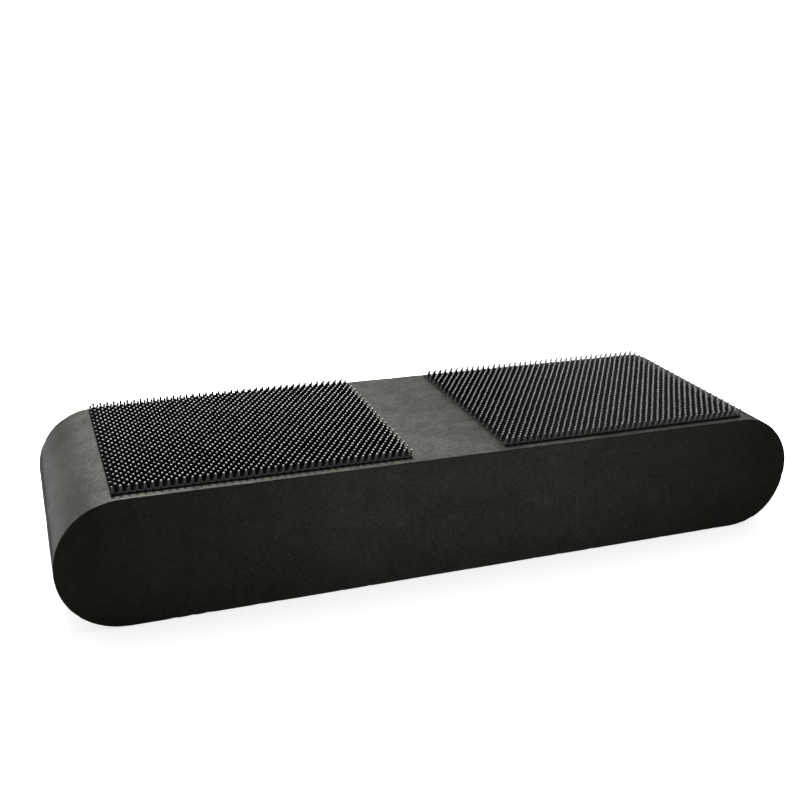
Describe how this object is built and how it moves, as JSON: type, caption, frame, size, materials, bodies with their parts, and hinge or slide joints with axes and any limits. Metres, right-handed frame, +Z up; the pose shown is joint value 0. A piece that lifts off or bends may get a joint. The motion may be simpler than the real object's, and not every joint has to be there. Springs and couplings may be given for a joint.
{
  "type": "bass drum anchor block",
  "caption": "Foam block with full-round ends that stands in front of a bass drum, with two pads of stiff upright prongs on one flat face that grip the carpet.",
  "frame": {"origin": "centre of the plain flat face that the block lies on, at the bottom of the part", "axes": "+X along the block, towards the right prong pad; +Y from the front long face to the rear one; +Z up, out of the face with the prong pads"},
  "size_m": [0.305, 0.093, 0.0536],
  "materials": {
    "foam": "matt closed-cell foam, finely grained",
    "adhesive": "matt black film, seen only at its edge",
    "prong_plastic": "black moulded plastic, dark between the prongs and worn pale grey at their tips"
  },
  "bodies": {
    "root": {"foam_block": "foam", "left_pad_adhesive": "adhesive", "right_pad_adhesive": "adhesive", "left_prong_pad": "prong_plastic", "right_prong_pad": "prong_plastic"}
  },
  "joints": []
}
